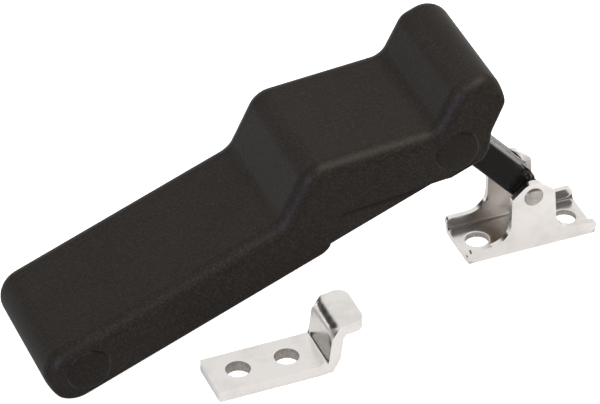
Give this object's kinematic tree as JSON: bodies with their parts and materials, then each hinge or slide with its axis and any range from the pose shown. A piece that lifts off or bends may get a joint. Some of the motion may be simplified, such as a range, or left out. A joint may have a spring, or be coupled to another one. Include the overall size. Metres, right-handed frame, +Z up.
{
  "type": "flexible over-centre draw latch",
  "caption": "Flexible rubber over-centre draw latch: swinging link on a folded steel bracket, rubber arm with a hook pin, and a separate hook-shaped strip keeper.",
  "frame": {"origin": "centre of the bracket's mounting face, midway between its two holes", "axes": "+Z up out of the mounting surface, +X along the bracket's holes away from the keeper side, +Y along the pivot pins towards the back"},
  "size_m": [0.15, 0.0547, 0.0644],
  "materials": {
    "bright_steel": "polished",
    "pin_steel": "satin",
    "black_coated_steel": "satin",
    "bush_bronze": "satin",
    "sleeve_steel": "satin",
    "plug_rubber": "matte",
    "arm_rubber": "matte",
    "core_rubber": "matte"
  },
  "bodies": {
    "bracket_side": {"bracket": "bright_steel", "bracket_pin": "pin_steel", "pivot_washer_front": "bright_steel", "pivot_washer_rear": "bright_steel", "keeper": "bright_steel"},
    "link_side": {"link": "black_coated_steel", "link_bush_lower": "bush_bronze", "link_bush_upper": "bush_bronze"},
    "arm_side": {"rubber_arm": "arm_rubber", "arm_core": "core_rubber", "link_cross_pin": "pin_steel", "link_pin_sleeve_front": "sleeve_steel", "link_pin_sleeve_rear": "sleeve_steel", "link_pin_plug_front": "plug_rubber", "link_pin_plug_rear": "plug_rubber", "hook_cross_pin": "pin_steel", "hook_pin_sleeve_front": "sleeve_steel", "hook_pin_sleeve_rear": "sleeve_steel", "hook_pin_plug_front": "plug_rubber", "hook_pin_plug_rear": "plug_rubber"}
  },
  "joints": [
    {"name": "link_swing", "type": "hinge", "parent": "bracket_side", "child": "link_side", "pos_m": [0, 0, 0.01689], "axis": [0, 1, 0], "range_deg": [0, 139.62]},
    {"name": "arm_swing", "type": "hinge", "parent": "link_side", "child": "arm_side", "pos_m": [-0.02505, 0, 0.04527], "axis": [0, 1, 0], "range_deg": [-120.43, 0]}
  ],
  "couplings": [
    {"joint": "arm_swing", "follows": "link_swing", "ratio": -0.86247}
  ]
}
